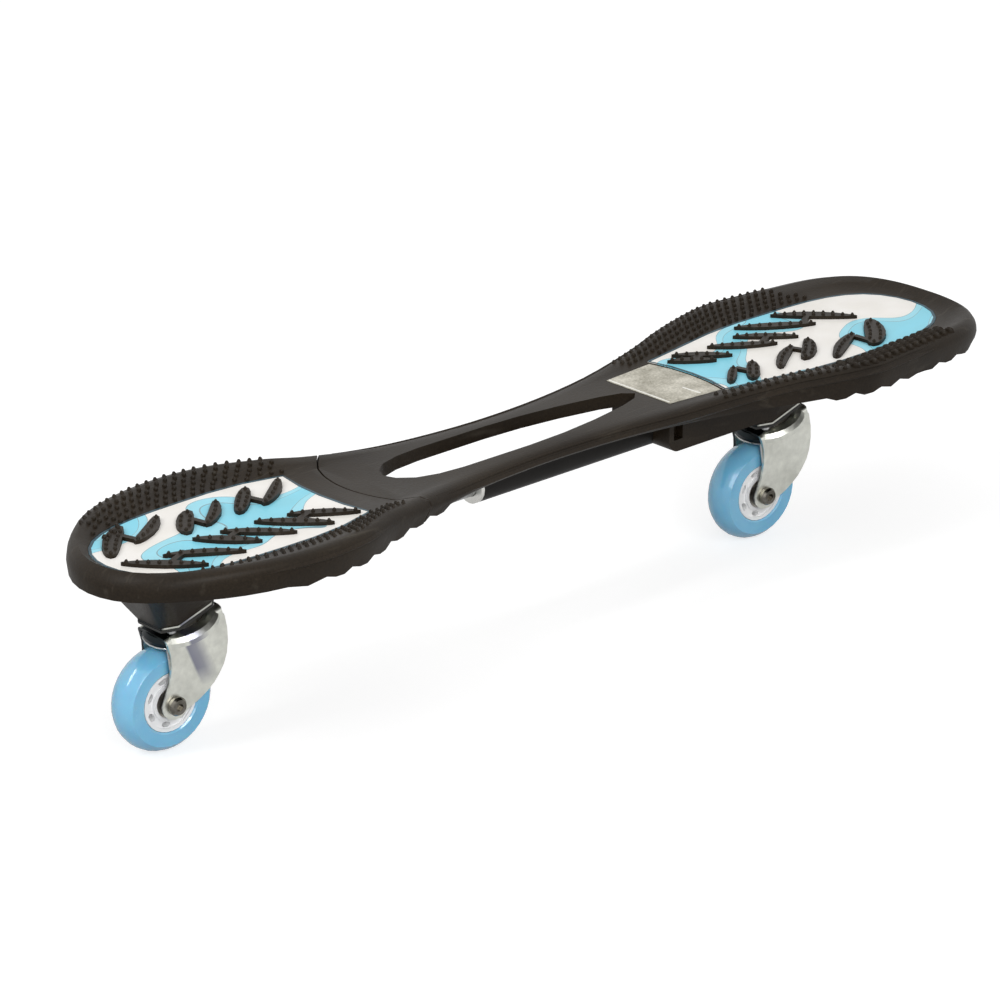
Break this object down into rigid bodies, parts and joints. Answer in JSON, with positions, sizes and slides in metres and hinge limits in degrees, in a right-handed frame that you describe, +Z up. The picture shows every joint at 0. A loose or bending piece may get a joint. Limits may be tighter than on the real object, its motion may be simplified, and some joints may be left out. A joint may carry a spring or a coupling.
{
  "type": "caster board",
  "caption": "Two-deck caster board with a slotted waist, a sprung torsion tube between the decks and an inclined swivel caster with a ball-bearing wheel under each deck.",
  "frame": {"origin": "on the ground in the middle of the board's length and width", "axes": "+X along the board towards the nose deck, +Y to the board's left, +Z up from the ground"},
  "size_m": [0.8224, 0.183, 0.1544],
  "materials": {
    "deck_plastic": "fine-grained moulded nylon, brown-black",
    "printed_sheet": "satin printed sheet, light blue and white",
    "foil": "brushed satin foil",
    "painted_tube": "satin dark grey",
    "steel": "bright machined",
    "zinc": "bright zinc plated, pressed",
    "dark_metal": "dark, lightly oiled",
    "rubber": "matt",
    "bushing_plastic": "matt",
    "hub_plastic": "smooth moulded, white",
    "tyre": "glossy cast polyurethane, light blue"
  },
  "bodies": {
    "front": {"nose_deck": "deck_plastic", "nose_insert": "printed_sheet", "foil_label": "foil", "torsion_tube": "painted_tube", "tube_end_ring": "steel", "tube_lock_screw": "steel", "torsion_rubber": "rubber", "waist_bushing": "bushing_plastic", "nose_mounting_plate": "zinc", "nose_plate_screw_1": "steel", "nose_plate_screw_2": "steel", "nose_plate_screw_3": "steel", "nose_plate_screw_4": "steel", "nose_race_ring": "dark_metal", "nose_kingpin": "zinc", "nose_kingpin_nut": "zinc"},
    "tail": {"tail_deck": "deck_plastic", "tail_insert": "printed_sheet", "torsion_shaft": "steel", "cross_pin": "steel", "tail_mounting_plate": "zinc", "tail_plate_screw_1": "steel", "tail_plate_screw_2": "steel", "tail_plate_screw_3": "steel", "tail_plate_screw_4": "steel", "tail_race_ring": "dark_metal", "tail_kingpin": "zinc", "tail_kingpin_nut": "zinc"},
    "nose_fork_body": {"nose_fork": "zinc", "nose_axle_bolt": "steel", "nose_axle_nut": "zinc", "nose_bearing_sleeve": "steel", "nose_axle_spacer_left": "zinc", "nose_axle_spacer_right": "zinc", "nose_bearing_inner_left": "steel", "nose_bearing_inner_right": "steel"},
    "nose_wheel": {"nose_bearing_outer_left": "dark_metal", "nose_bearing_outer_right": "dark_metal", "nose_hub": "hub_plastic", "nose_tyre": "tyre"},
    "tail_fork_body": {"tail_fork": "zinc", "tail_axle_bolt": "steel", "tail_axle_nut": "zinc", "tail_bearing_sleeve": "steel", "tail_axle_spacer_left": "zinc", "tail_axle_spacer_right": "zinc", "tail_bearing_inner_left": "steel", "tail_bearing_inner_right": "steel"},
    "tail_wheel": {"tail_bearing_outer_left": "dark_metal", "tail_bearing_outer_right": "dark_metal", "tail_hub": "hub_plastic", "tail_tyre": "tyre"}
  },
  "joints": [
    {"name": "deck_twist", "type": "hinge", "parent": "front", "child": "tail", "pos_m": [-0.19125, 0, 0.117], "axis": [1, 0, 0], "range_deg": [-20, 20], "stiffness_Nm_per_rad": 20},
    {"name": "nose_swivel", "type": "hinge", "parent": "front", "child": "nose_fork_body", "pos_m": [0.23355, 0, 0.09391], "axis": [-0.2924, 0, 0.9563], "continuous": true},
    {"name": "nose_roll", "type": "hinge", "parent": "nose_fork_body", "child": "nose_wheel", "pos_m": [0.21829, 0.00189, 0.038], "axis": [0.0584, 0.9981, 0.0178], "continuous": true},
    {"name": "tail_swivel", "type": "hinge", "parent": "tail", "child": "tail_fork_body", "pos_m": [-0.33545, 0, 0.09391], "axis": [-0.2924, 0, 0.9563], "continuous": true},
    {"name": "tail_roll", "type": "hinge", "parent": "tail_fork_body", "child": "tail_wheel", "pos_m": [-0.35071, 0.00189, 0.038], "axis": [0.0584, 0.9981, 0.0178], "continuous": true}
  ]
}
